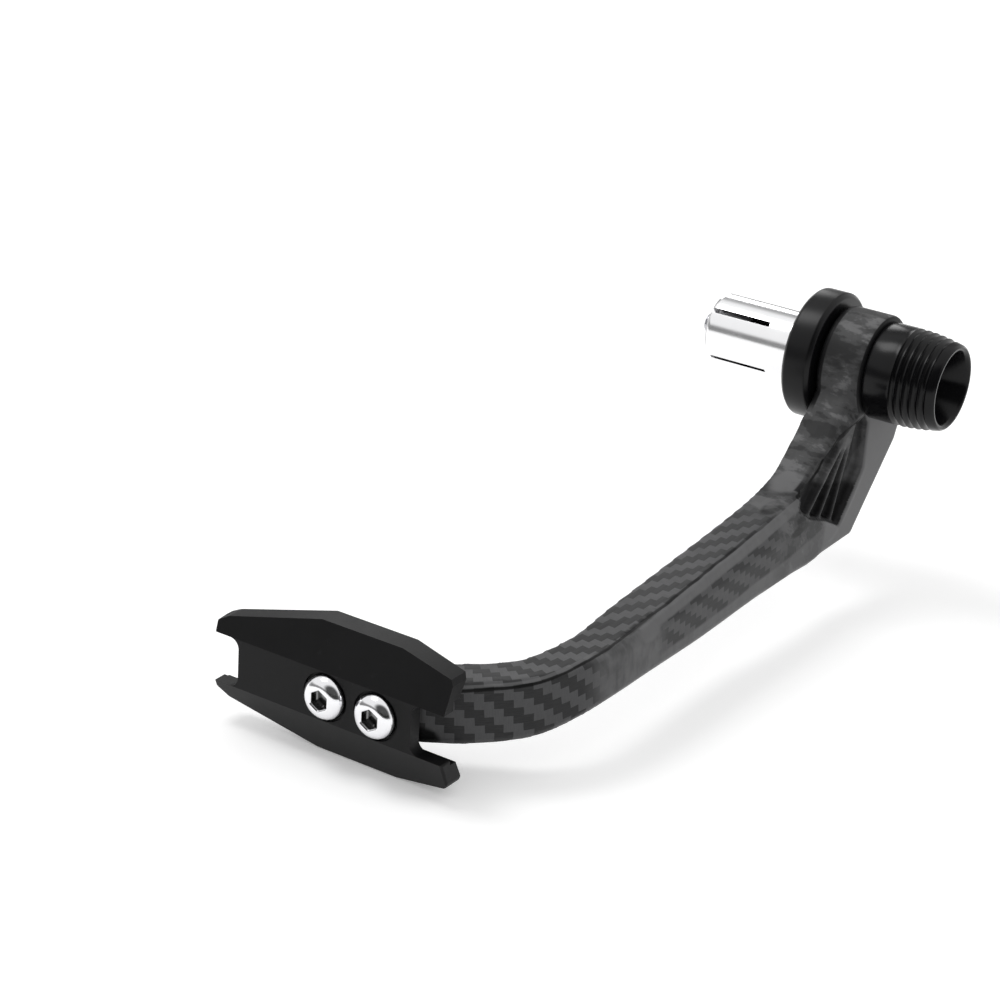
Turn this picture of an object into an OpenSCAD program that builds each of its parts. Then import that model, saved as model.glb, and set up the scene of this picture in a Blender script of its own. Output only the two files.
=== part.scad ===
// Motorbike lever guard for the right-hand bar end.
// X runs along the handlebar and outwards, -Y points forwards, +Z is up.
// The origin lies on the bar axis, on the face of the spacer ring that meets the end of the bar.

/* [Place of the slider] */
// Distance from the bar axis forwards to the front of the slider
reach = 161.4; // [150:0.2:175]
// Drop from the bar axis to the middle of the slider
drop = 42.6; // [38:0.1:48]
// Distance from the origin inwards to the screw nearer the bar
screw_in = 14.2; // [12:0.1:16]

/* [Moulded arm] */
// Diameter of the eye
eye_d = 27.2; // [26.6:0.2:29]
// Width of the eye
eye_w = 11.7; // [11:0.1:13]
// Width of the arm along its main run
arm_w = 12; // [11.4:0.1:13]
// Height of the arm at the shoulder
shoulder_h = 21; // [20:0.2:22]
// Height of the arm halfway along
run_h = 15.3; // [14.6:0.1:16.4]
// Thickness of the flat tongue that carries the slider
tongue_t = 10.9; // [10.2:0.1:11.6]
// Height of the tongue
tongue_h = 14.6; // [13.4:0.1:15]
// Distance of the tongue's middle above the screws
tongue_rise = 0.6; // [0.3:0.1:1]
// Length of tongue past the inner screw
tongue_end = 7.5; // [6.5:0.1:9]
// Thickness of the channel's outer wall and of the heel
wall_t = 3; // [2.4:0.1:3.6]
// Thickness of the channel's top flange
flange_t = 2.8; // [2.2:0.1:3.4]
// Thickness of the channel's bottom lip
lip_t = 2.6; // [2.2:0.1:3.2]
// Distance by which the bottom lip stops short of the top flange
lip_back = 4; // [2:0.2:5]
// Height of the long step on the channel's floor
ledge_h = 1.2; // [0.6:0.1:1.6]
// Depth of the crease between the top and the outer face
crease_d = 0.7; // [0.4:0.1:1]
// Height of the bevel under the crease at the shoulder
bevel_h = 6; // [4.5:0.1:6.4]
// Width of that bevel
bevel_w = 2.6; // [2:0.1:3]
// Depth of the shoulder recess
recess_d = 3.2; // [2.4:0.1:3.6]
// Depth of the recess above its ribs
rib_drop = 1.2; // [0.8:0.1:1.6]
// Width of a recess rib
rib_w = 1.7; // [1.2:0.1:2]
// Distance of the heel's corner in front of the bar axis
heel_front = 7; // [6:0.5:10]
// Chamfer of the heel's outer edge
heel_chamfer = 0.8; // [0.4:0.1:1]

/* [Slider] */
// Length of the slider
slider_l = 61.4; // [60:0.2:64]
// Distance from the outer screw to the slider's outer end
slider_out = 17.4; // [16.4:0.1:18.4]
// Height of the slider
slider_h = 31; // [29:0.2:33]
// Length of the flat top of its outline
plateau_l = 21.3; // [19:0.1:23]
// Distance from the outer screw outwards to the end of the flat top
plateau_out = 3.2; // [2:0.1:4]
// Height of the outline at the inner tip
tip_h = 19.4; // [18:0.2:21]
// Height of the outline at the outer end
end_h = 26; // [24:0.2:28]
// Thickness of the slider's lips
plate_t = 5.5; // [5:0.1:6]
// Thickness of its upright band, in front of the tongue
web_t = 3.4; // [3:0.1:3.8]
// Height of the upright band that takes the screws
band_h = 11.8; // [10.6:0.1:12.4]
// Distance by which the sloped faces lean back
lean = 4.4; // [3.6:0.1:5]
// Depth of the notch in the inner end
notch_in = 6.8; // [6:0.1:8]
// Depth of the notch in the outer end
notch_out = 8.3; // [7.4:0.1:9]
// Radius of the notch corners
notch_r = 2.4; // [1.6:0.1:3]

/* [Slider screws] */
// Thread diameter
screw_d = 6; // [5.6:0.1:6.2]
// Head diameter
head_d = 10.5; // [10:0.1:11]
// Head height
head_h = 3.3; // [3:0.1:3.6]
// Distance between the two screws
screw_pitch = 13.4; // [12.8:0.1:14]
// Length under the head
screw_l = 12; // [11.4:0.1:12.6]
// Width across the flats of the hex socket
socket_af = 4; // [3.8:0.1:4.2]
// Depth of the hex socket
socket_deep = 2; // [1.6:0.1:2.2]
// Depth of the seat that each head lies in
seat_d = 0.8; // [0.5:0.1:1.2]
// Width across the flats of the nuts
nut_af = 10; // [9.6:0.1:10.2]
// Thickness of the nuts
nut_t = 4; // [3.4:0.1:4.2]

/* [Bar end stack] */
// Diameter of the spacer ring
ring_d = 32.5; // [31:0.1:34]
// Width of the spacer ring
ring_w = 7.6; // [7:0.1:9]
// Chamfer of the ring's rims
ring_chamfer = 0.9; // [0.5:0.1:1.2]
// Diameter of the boss that stands off the arm's eye
boss_d = 22; // [20:0.2:24]
// Height of that boss
boss_h = 0.9; // [0.6:0.1:1.4]
// Length of the sleeve's spigot in the ring
spigot = 2; // [1.5:0.1:3]
// Diameter of that spigot
spigot_d = 14; // [13:0.1:15]
// Reach of the relief groove to each side of the sleeve's rim
relief_w = 0.4; // [0.2:0.1:0.8]
// Depth of the relief groove in the ring's face
relief_d = 0.4; // [0.2:0.1:0.8]
// Outside diameter of the bush in the eye
bush_d = 12; // [11:0.1:13]
// Base diameter of the bar end cap
cap_d = 24.4; // [23.4:0.1:25]
// Diameter of the cap's open end
cap_end_d = 21.3; // [20.6:0.1:22]
// Length of the cap
cap_l = 18.7; // [18:0.1:21]
// Length of the cap's smooth base
cap_base_l = 7.2; // [6.6:0.1:8]
// Number of grooves around the cap
groove_n = 5; // [4:1:6]
// Depth of the grooves
groove_d = 0.8; // [0.5:0.1:1]
// Thickness of the cap's floor
floor_t = 3.8; // [3:0.1:4.4]
// Diameter of the cap's mouth
mouth_d = 16.2; // [15.4:0.1:16.8]
// Diameter of the cap's bore at the floor
cap_bore_d = 13.4; // [13:0.1:14]

/* [Clamp bolt] */
// Thread diameter
bolt_d = 6; // [5.6:0.1:6.2]
// Length under the head
bolt_l = 55; // [54:0.5:58]
// Head diameter
bolt_head_d = 10; // [9.6:0.1:10.4]
// Head height
bolt_head_h = 6; // [5.6:0.1:6.4]
// Width across the flats of its hex socket
bolt_af = 5; // [4.6:0.1:5.2]
// Depth of that socket
bolt_deep = 3; // [2.6:0.1:3.4]
// Outside diameter of the washer
washer_d = 12; // [11.6:0.1:12.6]
// Thickness of the washer
washer_t = 1.5; // [1.2:0.1:1.8]

/* [Expander] */
// Outside diameter of the expander sleeve
sleeve_d = 17.5; // [16.6:0.1:18.6]
// Length of sleeve that enters the bar
sleeve_l = 26; // [25:0.5:27]
// Rounding of the sleeve's tip
tip_r = 1.5; // [1:0.1:2]
// Number of slots in the sleeve
slot_n = 4; // [3:1:6]
// Width of a slot
slot_w = 1.4; // [1:0.1:1.8]
// Length of a slot
slot_l = 17; // [15:0.5:19]
// Diameter of the conical seat at the tip
seat_open_d = 11; // [10.6:0.1:11.6]
// Length of the cone nut
cone_l = 9; // [8:0.2:10]
// Half angle of the cone in degrees
cone_a = 8; // [6:0.5:9]
// Distance of the cone nut below the sleeve's tip
cone_in = 0.8; // [0.4:0.1:1.2]

/* [Fits] */
// Clearance round a bolt or screw in its hole, on the diameter
hole_fit = 0.4; // [0.2:0.1:0.8]
// Clearance of the bush in the eye and the sleeve in the ring, on the diameter
slide_fit = 0.1; // [0.05:0.05:0.3]
// Clearance round a nut in its pocket, across the flats
pocket_fit = 0.2; // [0.1:0.05:0.4]
// Clearance round a screw head in its seat, on the diameter
head_fit = 1; // [0.6:0.1:1.4]
// Clearance between the cone nut and its seat, on the diameter
cone_fit = 0.1; // [0.05:0.05:0.3]
// Clearance between the tongue and the sloped backs of the slider
saddle_fit = 0.3; // [0.2:0.05:0.6]

/* [Hidden] */
$fn = 72;
eye_x = ring_w + boss_h;              // inner face of the eye
cap_x = eye_x + eye_w;                // inner face of the cap
cap_out = cap_x + cap_l;              // open end of the cap
floor_x = cap_x + floor_t;            // floor of the cap's bore
head_x = floor_x + washer_t;          // underside of the clamp bolt's head
arm_x = eye_x + eye_w / 2;            // middle of the arm along its main run
screw_x = [-screw_in, -screw_in - screw_pitch];
slider_x1 = slider_out - screw_in;    // outer end of the slider
slider_x0 = slider_x1 - slider_l;     // inner end of the slider
band_back = -reach + web_t;           // back of the slider's upright band
tongue_y = band_back + tongue_t / 2;  // middle of the tongue
tongue_x = screw_x[1] - tongue_end;   // free end of the tongue
seat_y = -reach + seat_d;             // floor of the screw seats
nut_y = band_back + tongue_t - nut_t; // seating face of the nuts

// Stations along the middle of the arm: place, width and height.
// They leave the eye downwards, turn forwards at the shoulder and bend inwards to the tongue.
STATIONS = [
    [[arm_x, -4, -9], eye_w, 0.7 * eye_d],
    [[arm_x, -9, -16], eye_w, shoulder_h],
    [[arm_x, -15.4, -24.2], arm_w, shoulder_h + 2.3],
    [[arm_x, -24.5, -31.2], arm_w, shoulder_h + 2.4],
    [[arm_x, -38, -drop + 9.2], arm_w, (2 * shoulder_h + run_h) / 3],
    [[arm_x, -56, -drop + 8.1], arm_w, run_h + 1.3],
    [[arm_x, -reach / 2, -drop + 6.7], arm_w, run_h],
    [[arm_x, -reach + 57, -drop + 5.8], arm_w, run_h - 2.2],
    [[arm_x - 0.3, -reach + 45, -drop + 4.8], arm_w - 0.6, tongue_h - 2.4],
    [[arm_x - 2.2, -reach + 34.4, -drop + 3.4], (arm_w + tongue_t) / 2 - 0.8, tongue_h - 1.5],
    [[arm_x - 6.2, -reach + 25, -drop + 1.8], tongue_t - 0.8, tongue_h - 0.3],
    [[arm_x - 13, tongue_y + 8.9, -drop + 1.1], tongue_t - 0.4, tongue_h],
    [[arm_x - 20.4, tongue_y + 3.9, -drop + tongue_rise], tongue_t, tongue_h],
    [[arm_x - 28, tongue_y + 0.5, -drop + tongue_rise], tongue_t, tongue_h],
    [[tongue_x, tongue_y, -drop + tongue_rise], tongue_t, tongue_h]
];
last = len(STATIONS) - 1;

// Outline of the thin heel under the eye, as [y, z]: up its back, over the arm and back along the bottom
HEEL = [[-heel_front, -drop + 0.3], [12.6, -22.4], [16.2, -14.5], [eye_d / 2 - 0.4, -4], [-2, -4],
    [-12, -16], [-30, -31], [-52, -36], [-52, -drop]];

// Outline of the shoulder recess in the arm's outer face, as [y, z]
RECESS = [[-7, -9.8], [-4.8, -12.4], [-4.6, -24.5], [-15.2, -37], [-22, -33.6], [-31.5, -30],
    [-36.4, -26.8], [-33, -21], [-26, -17.4], [-17, -13]];

// Point and direction on a smooth curve through the stations
function knot(k) = STATIONS[max(0, min(last, k))];
function blend(a, b, c, d, t) = 0.5 * (2 * b + (c - a) * t + (2 * a - 5 * b + 4 * c - d) * t * t
    + (3 * b - a - 3 * c + d) * t * t * t);
function along(u, f) = let (k = min(floor(u), last - 1), t = u - k)
    blend(knot(k - 1)[f], knot(k)[f], knot(k + 1)[f], knot(k + 2)[f], t);
function unit(v) = v / norm(v);
function heading(u) = unit(along(min(u + 0.02, last), 0) - along(max(u - 0.02, 0), 0));
function ramp(u, a, b) = max(0, min(1, (u - a) / (b - a)));

// Share of the full channel depth: a wall below the eye, and a run-out before the tongue
function pocket(u) = ramp(u, 1.2, 1.45) * (0.75 + 0.25 * ramp(u, 3, 5)) * (1 - ramp(u, 9, 11));
function bevel(u) = bevel_h * (1 - 0.85 * ramp(u, 4, 9));

// Channel section, open inwards: from the top inner edge over the outer face and back
function section(u) = let (
    w = along(u, 1) / 2,
    h = along(u, 2) / 2,
    p = pocket(u),
    bw = bevel_w * bevel(u) / bevel_h,
    floor_a = -w + p * (2 * w - wall_t),
    lip_a = floor_a - p * (2 * w - wall_t - lip_back) * ramp(u, 3, 5.6)
) [
    [-w, h], [w - bw - 0.9, h], [w - bw - 0.5, h - crease_d], [w - bw, h - 0.25],
    [w, h - bevel(u)], [w, 1.8 - h], [w - 1.2, -h], [lip_a, -h], [lip_a, lip_t - h],
    [floor_a, lip_t + 0.6 - h], [floor_a, -0.5], [floor_a - p * ledge_h, 0.4],
    [floor_a - p * ledge_h, h - flange_t - 0.4], [-w, h - flange_t]
];
function ring_points(u) = let (
    t = heading(u),
    n = unit([-t[1], t[0], 0]),
    up = cross(t, n)
) [for (q = section(u)) along(u, 0) + q[0] * n + q[1] * up];

module arm_sweep() {
    us = [for (u = [0 : 0.25 : last]) u];
    rings = [for (u = us) ring_points(u)];
    m = len(rings[0]);
    n = len(rings);
    sides = [for (i = [0 : n - 2], j = [0 : m - 1], s = [0, 1]) let (k = (j + 1) % m)
        s == 0 ? [i * m + j, i * m + k, (i + 1) * m + j]
            : [i * m + k, (i + 1) * m + k, (i + 1) * m + j]];
    heel = 6;
    ends = [for (j = [1 : m - 2], s = [0, 1])
        let (a = (heel + j) % m, b = (heel + j + 1) % m, e = (n - 1) * m)
            s == 0 ? [heel, b, a] : [e + heel, e + a, e + b]];
    polyhedron([for (r = rings) each r], concat(sides, ends), convexity = 8);
}

// A shape drawn in the plane across the bar, given thickness along X from x0 to x1
module across(x0, x1) {
    translate([x0, 0, 0])
        rotate([90, 0, 90])
            linear_extrude(x1 - x0)
                children();
}

// A body turned round the bar axis from [x, radius] points
module turned(points) {
    rotate([90, 0, 90])
        rotate_extrude()
            polygon([for (p = points) [p[1], p[0]]]);
}

module recess_ribs() {
    foot = [[-19, -37], [-26, -33.5], [-33, -30.5]];
    for (f = foot)
        let (top = [-9.5, -9.5], run = f - top)
            translate(top)
                rotate(atan2(run[1], run[0]))
                    translate([0, -rib_w / 2])
                        square([norm(run), rib_w]);
}

module shoulder_recess() {
    face_x = arm_x + arm_w / 2;
    across(face_x - rib_drop, face_x + 3) polygon(RECESS);
    across(face_x - recess_d, face_x + 3)
        difference() {
            offset(r = -0.8) polygon(RECESS);
            recess_ribs();
        }
}

// Something along Y at one screw, with its start at y and pointing backwards
module at_screw(i, y) {
    translate([screw_x[i], y, -drop])
        rotate([-90, 0, 0])
            children();
}

// Thin plate that carries the outer wall back to the heel and up behind the eye
module heel() {
    across(cap_x - wall_t, cap_x - heel_chamfer) polygon(HEEL);
    across(cap_x - heel_chamfer - 0.01, cap_x) offset(delta = -heel_chamfer) polygon(HEEL);
}

module guard_arm() {
    color([0.16, 0.16, 0.17])
        difference() {
            union() {
                arm_sweep();
                heel();
                turned([[eye_x, 0], [eye_x, eye_d / 2 - 0.6], [eye_x + 0.6, eye_d / 2],
                    [cap_x - 0.6, eye_d / 2], [cap_x, eye_d / 2 - 0.6], [cap_x, 0]]);
            }
            translate([eye_x - 1, 0, 0])
                rotate([0, 90, 0])
                    cylinder(d = bush_d + slide_fit, h = eye_w + 2);
            shoulder_recess();
            for (i = [0, 1]) {
                at_screw(i, band_back - 1) cylinder(d = screw_d + hole_fit, h = tongue_t + 2);
                at_screw(i, nut_y) hex(nut_af + pocket_fit, nut_t + 1);
            }
        }
}

module hex(af, h) {
    cylinder(d = af / cos(30), h = h, $fn = 6);
}

// Upper edge of the slider seen from the front, as [x, height above its middle]
function slider_edge() = let (
    x1 = slider_x1,
    x0 = slider_x0,
    p1 = plateau_out - screw_in,
    p0 = p1 - plateau_l
) [
    [x0, tip_h / 2 - 2], [x0 + 2.3, tip_h / 2], [p0, slider_h / 2], [p1, slider_h / 2],
    [x1 - 0.8, end_h / 2], [x1, end_h / 2 - 1.2]
];

module slider_face() {
    edge = slider_edge();
    polygon(concat(edge, [for (i = [len(edge) - 1 : -1 : 0]) [edge[i][0], -edge[i][1]]]));
}

// End notch between the lips, with round corners, from its floor at x outwards
module notch(x, depth, side) {
    r = notch_r;
    half = band_h / 2;
    translate([x, 0])
        scale([side, 1])
            union() {
                translate([-r, 0])
                    for (s = [-1, 1])
                        translate([2 * r, s * (half - r)]) circle(r);
                translate([0, r - half]) square([depth + 2, band_h - 2 * r]);
                translate([r, -half]) square([depth + 2, band_h]);
            }
}

// Bent plate with a channel for the tongue in its back, seen from its end, as [y, z] about its middle
function slider_side() = let (
    f = -reach,
    b = -reach + plate_t,
    half = band_h / 2,
    top = slider_h / 2,
    up = tongue_h / 2 + saddle_fit + tongue_rise,
    low = tongue_h / 2 + saddle_fit - tongue_rise
) [
    [f, -half], [f + lean, -top], [b + lean, -top], [b, -low], [band_back, -low],
    [band_back, up], [b, up], [b + lean, top], [f + lean, top], [f, half]
];

module tip_slider() {
    color([0.07, 0.07, 0.08])
        difference() {
            translate([0, 0, -drop])
                intersection() {
                    across(slider_x0, slider_x1) polygon(slider_side());
                    translate([0, -reach + 30, 0])
                        rotate([90, 0, 0])
                            linear_extrude(60)
                                difference() {
                                    slider_face();
                                    notch(slider_x1 - notch_out, notch_out, 1);
                                    notch(slider_x0 + notch_in, notch_in, -1);
                                }
                }
            for (i = [0, 1]) {
                at_screw(i, -reach - 1) cylinder(d = head_d + head_fit, h = seat_d + 1);
                at_screw(i, -reach - 1) cylinder(d = screw_d + hole_fit, h = web_t + 2);
            }
        }
}

// Button-headed screw, drawn with its head below the origin and its thread above
module button_screw() {
    round_r = head_d / 2;
    difference() {
        rotate_extrude()
            polygon(concat(
                [[0, screw_l], [screw_d / 2 - 0.7, screw_l], [screw_d / 2, screw_l - 0.7],
                    [screw_d / 2, 0], [round_r, 0], [round_r, -0.3]],
                [for (a = [15 : 15 : 75]) [socket_af * 0.62 + (round_r - socket_af * 0.62) * cos(a),
                    -0.3 - (head_h - 0.3) * sin(a)]],
                [[socket_af * 0.62, -head_h], [0, -head_h]]));
        translate([0, 0, -head_h - 1]) rotate(30) hex(socket_af, socket_deep + 1);
    }
}

module slider_screw(i) {
    color([0.8, 0.8, 0.82]) at_screw(i, seat_y) button_screw();
}

module slider_nut(i) {
    color([0.7, 0.7, 0.72])
        at_screw(i, nut_y)
            difference() {
                hex(nut_af, nut_t);
                translate([0, 0, -1]) cylinder(d = screw_d, h = nut_t + 2);
            }
}

module slider_screw_inner() { slider_screw(1); }
module slider_screw_outer() { slider_screw(0); }
module slider_nut_inner() { slider_nut(1); }
module slider_nut_outer() { slider_nut(0); }

module eye_bush() {
    color([0.62, 0.62, 0.64])
        turned([[eye_x, (bolt_d + hole_fit) / 2], [eye_x, bush_d / 2], [cap_x, bush_d / 2],
            [cap_x, (bolt_d + hole_fit) / 2]]);
}

module spacer_ring() {
    r = ring_d / 2;
    c = ring_chamfer;
    hole = (bolt_d + hole_fit) / 2;
    socket = (spigot_d + slide_fit) / 2;
    relief = [sleeve_d / 2 - relief_w, sleeve_d / 2 + relief_w];
    color([0.06, 0.06, 0.07])
        turned([[0, socket], [0, relief[0]], [relief_d, relief[0]], [relief_d, relief[1]],
            [0, relief[1]], [0, r - c], [c, r], [ring_w - c, r], [ring_w, r - c],
            [ring_w, boss_d / 2], [eye_x, boss_d / 2], [eye_x, hole], [spigot, hole],
            [spigot, socket]]);
}

// Rounded ridges and grooves down the tapered outside of the cap
function ridge_x0() = cap_x + cap_base_l;
function ridge_x1() = cap_out - 2.1;
function taper(x) = let (f = (x - ridge_x0()) / (cap_out - ridge_x0()))
    cap_d / 2 - (cap_d - cap_end_d) / 2 * f * f;
function ridges() = let (steps = 6, span = (ridge_x1() - ridge_x0()) / groove_n)
    [for (i = [0 : groove_n - 1], j = [0 : steps - 1])
        let (f = j / steps, x = ridge_x0() + span * (i + f))
            [x, taper(x) - groove_d * (1 - pow(abs(2 * f - 1), 2.4))]];

module bar_end_cap() {
    hole = (bolt_d + hole_fit) / 2;
    color([0.05, 0.05, 0.06])
        turned(concat(
            [[cap_x, hole], [cap_x, cap_d / 2 - 0.4], [cap_x + 0.4, cap_d / 2]],
            ridges(),
            [[ridge_x1(), taper(ridge_x1())], [cap_out - 0.8, taper(cap_out - 0.8)],
                [cap_out, taper(cap_out) - 0.8], [cap_out, mouth_d / 2 + 0.5],
                [cap_out - 0.5, mouth_d / 2], [floor_x, cap_bore_d / 2], [floor_x, hole]]));
}

module clamp_bolt() {
    r = bolt_d / 2;
    hr = bolt_head_d / 2;
    tip = head_x - bolt_l;
    color([0.72, 0.72, 0.74])
        difference() {
            turned([[tip, 0], [tip, r - 0.8], [tip + 0.8, r], [head_x, r], [head_x, hr],
                [head_x + bolt_head_h - 0.6, hr], [head_x + bolt_head_h, hr - 0.6],
                [head_x + bolt_head_h, 0]]);
            translate([head_x + bolt_head_h - bolt_deep, 0, 0])
                rotate([0, 90, 0])
                    hex(bolt_af, bolt_deep + 1);
        }
}

module bolt_washer() {
    hole = (bolt_d + hole_fit) / 2;
    color([0.72, 0.72, 0.74])
        turned([[floor_x, hole], [floor_x, washer_d / 2], [head_x, washer_d / 2], [head_x, hole]]);
}

// Radius of the conical seat at x, widest at the sleeve's tip
function seat_r(x) = seat_open_d / 2 - (x + sleeve_l) * tan(cone_a);

module expander_sleeve() {
    r = sleeve_d / 2;
    hole = (bolt_d + hole_fit) / 2;
    seat_end = (seat_open_d / 2 - hole) / tan(cone_a) - sleeve_l;
    color([0.86, 0.86, 0.88])
        difference() {
            turned(concat(
                [[seat_end, hole], [-sleeve_l, seat_open_d / 2]],
                [for (a = [90 : -18 : 0]) [-sleeve_l + tip_r * (1 - sin(a)), r - tip_r * (1 - cos(a))]],
                [[0, r], [0, spigot_d / 2], [spigot, spigot_d / 2], [spigot, hole]]));
            for (i = [0 : slot_n - 1])
                rotate([45 + i * 360 / slot_n, 0, 0])
                    translate([-sleeve_l - 1, -slot_w / 2, 0])
                        cube([slot_l + 1, slot_w, r + 1]);
        }
}

module expander_cone() {
    x0 = cone_in - sleeve_l;
    x1 = x0 + cone_l;
    bore = bolt_d / 2;
    color([0.8, 0.8, 0.82])
        turned([[x0 + 0.8, bore], [x0, bore + 0.8], [x0, seat_r(x0) - cone_fit / 2],
            [x1, seat_r(x1) - cone_fit / 2], [x1, bore]]);
}

guard_arm();
tip_slider();
slider_screw_inner();
slider_screw_outer();
slider_nut_inner();
slider_nut_outer();
eye_bush();
spacer_ring();
bar_end_cap();
clamp_bolt();
bolt_washer();
expander_sleeve();
expander_cone();
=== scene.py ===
import math
import bpy
import numpy as np
from mathutils import Matrix, Vector


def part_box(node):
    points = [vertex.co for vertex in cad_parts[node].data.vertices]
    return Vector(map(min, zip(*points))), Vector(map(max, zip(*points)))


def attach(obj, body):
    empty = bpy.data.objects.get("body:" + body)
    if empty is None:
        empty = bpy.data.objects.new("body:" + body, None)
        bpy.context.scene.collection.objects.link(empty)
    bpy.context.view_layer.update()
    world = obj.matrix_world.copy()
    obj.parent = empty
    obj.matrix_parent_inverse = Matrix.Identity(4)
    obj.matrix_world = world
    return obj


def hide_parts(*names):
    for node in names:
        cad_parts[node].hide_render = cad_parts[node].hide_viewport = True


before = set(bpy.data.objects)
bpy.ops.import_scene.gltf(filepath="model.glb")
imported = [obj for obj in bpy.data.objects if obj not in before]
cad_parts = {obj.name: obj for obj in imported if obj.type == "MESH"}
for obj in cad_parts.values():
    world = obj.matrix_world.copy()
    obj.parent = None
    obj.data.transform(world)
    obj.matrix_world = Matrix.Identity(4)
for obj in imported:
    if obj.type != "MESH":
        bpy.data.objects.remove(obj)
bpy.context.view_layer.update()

# The camera stands in front of the guard, outboard of it and a little above.
# Its long lens draws the far end of the arm nearly as large as the near end.
stage = bpy.context.scene
eye = bpy.data.cameras.new("camera")
eye.lens, eye.sensor_width, eye.sensor_fit, eye.clip_start = 96.27, 36, "HORIZONTAL", 0.01
camera = bpy.data.objects.new("camera", eye)
stage.collection.objects.link(camera)
look = Matrix(((0.82915386, -0.26710858, 0.49107727), (0.55566100, 0.29763939, -0.77630641),
               (0.06119416, 0.91654995, 0.39521067))).to_4x4()
look.translation = Vector((0.27376656, -0.57299415, 0.22502010))
camera.matrix_world = look
stage.camera = camera
stage.view_settings.view_transform = "Standard"


# The room is a white studio with an even light. Bright metal mirrors three darker parts of it:
# a wall low down in front, a patch at the back on the left, and a doorway behind the camera.
def maths(kind, turned=False):
    """A method that puts one Math node between a Dial and a number or another Dial."""

    def method(self, other=0):
        n = self.sheet.tree.nodes.new("ShaderNodeMath")
        n.operation = kind
        for slot, value in zip(n.inputs, (other, self) if turned else (self, other)):
            self.sheet.feed(slot, value)
        return Dial(self.sheet, n.outputs[0])
    return method


class Dial:
    """A node socket that can be added, scaled and compared like a number."""

    def __init__(self, sheet, plug):
        self.sheet, self.plug = sheet, plug

    __add__, __radd__ = maths("ADD"), maths("ADD")
    __sub__, __rsub__ = maths("SUBTRACT"), maths("SUBTRACT", turned=True)
    __mul__, __rmul__ = maths("MULTIPLY"), maths("MULTIPLY")
    __truediv__, __rtruediv__ = maths("DIVIDE"), maths("DIVIDE", turned=True)
    __lt__, least, most = maths("LESS_THAN"), maths("MINIMUM"), maths("MAXIMUM")
    floor, size, wrap = maths("FLOOR"), maths("ABSOLUTE"), maths("FLOORED_MODULO")

    def ramp(self, low, high):
        """0 at low, 1 at high, and a soft step between them."""
        n = self.sheet.tree.nodes.new("ShaderNodeMapRange")
        n.interpolation_type = "SMOOTHSTEP"
        self.sheet.feed(n.inputs["Value"], self)
        n.inputs["From Min"].default_value, n.inputs["From Max"].default_value = low, high
        return Dial(self.sheet, n.outputs[0])


class Finish:
    """A material, or the world, laid out node by node."""

    def __init__(self, name, tree=None, **plain):
        if tree is None:
            self.material = bpy.data.materials.new(name)
            self.material.use_nodes = True
            tree = self.material.node_tree
            self.skin = tree.nodes["Principled BSDF"]
            for key, value in plain.items():
                self.skin.inputs[key.replace("_", " ")].default_value = value
        self.tree = tree

    def feed(self, slot, value):
        if isinstance(value, Dial):
            self.tree.links.new(value.plug, slot)
        elif isinstance(value, tuple) and slot.type == "RGBA":
            slot.default_value = (*value, 1)
        else:
            slot.default_value = value

    def node(self, kind, out=0, settings=(), **values):
        n = self.tree.nodes.new("ShaderNode" + kind)
        for key, value in dict(settings).items():
            setattr(n, key, value)
        for key, value in values.items():
            self.feed(n.inputs[key], value)
        return Dial(self, n.outputs[out])

    def mix(self, factor, a, b):
        n = self.tree.nodes.new("ShaderNodeMix")
        n.data_type = "RGBA"
        for slot, value in ((n.inputs[0], factor), (n.inputs[6], a), (n.inputs[7], b)):
            self.feed(slot, value)
        return Dial(self, n.outputs[2])

    def split(self, vector):
        n = self.tree.nodes.new("ShaderNodeSeparateXYZ")
        self.feed(n.inputs[0], vector)
        return [Dial(self, s) for s in n.outputs]

    def point(self, x, y, z):
        return self.node("CombineXYZ", X=x, Y=y, Z=z)

    def place(self):
        return self.node("TexCoord", "Object")

    def painted(self, name):
        """A value that was worked out for each point of the mesh."""
        return self.node("Attribute", 2, {"attribute_name": name})

    def noise(self, vector, scale=1, detail=3, rough=0.5):
        return self.node("TexNoise", Vector=vector, Scale=scale, Detail=detail, Roughness=rough)

    def wear(self, colour, rough=None, height=None, depth=0.0, strength=0.0):
        """Sets the colour, the roughness and the small relief of the skin."""
        self.feed(self.skin.inputs["Base Color"], colour)
        if rough is not None:
            self.feed(self.skin.inputs["Roughness"], rough)
        if height is not None:
            bump = self.node("Bump", Height=height, Distance=depth, Strength=strength)
            self.feed(self.skin.inputs["Normal"], bump)
        return self.material


world = bpy.data.worlds.new("studio")
stage.world = world
world.use_nodes = True
air = Finish("studio", world.node_tree)
way = air.split(air.node("TexCoord", "Generated"))
glossy = air.node("LightPath", "Is Glossy Ray")
seen = air.node("LightPath", "Is Camera Ray")


def toward(x, y, z, edge, core):
    """1 in a patch of the room that lies that way, and 0 outside it; edge and core are cosines."""
    return (way[0] * x + way[1] * y + way[2] * z).ramp(edge, core)


dark_wall = (way[2] - 0.10).size().ramp(0.25, 0.09) * (way[1] * -1).ramp(0.0, 0.3)
dark_back = toward(-0.49, 0.78, 0.39, 0.78, 0.95)
dark_door = toward(0.56, -0.76, 0.34, 0.62, 0.84)
mirrored = (0.97 - 0.72 * dark_wall) * (1 - 0.68 * dark_back) * (1 - 0.93 * dark_door)
scattered = 0.74
level = seen + (1 - seen) * (glossy * mirrored + (1 - glossy) * scattered)
backdrop = world.node_tree.nodes["Background"]
air.feed(backdrop.inputs["Strength"], level)
backdrop.inputs["Color"].default_value = (1, 1, 1, 1)

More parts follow.
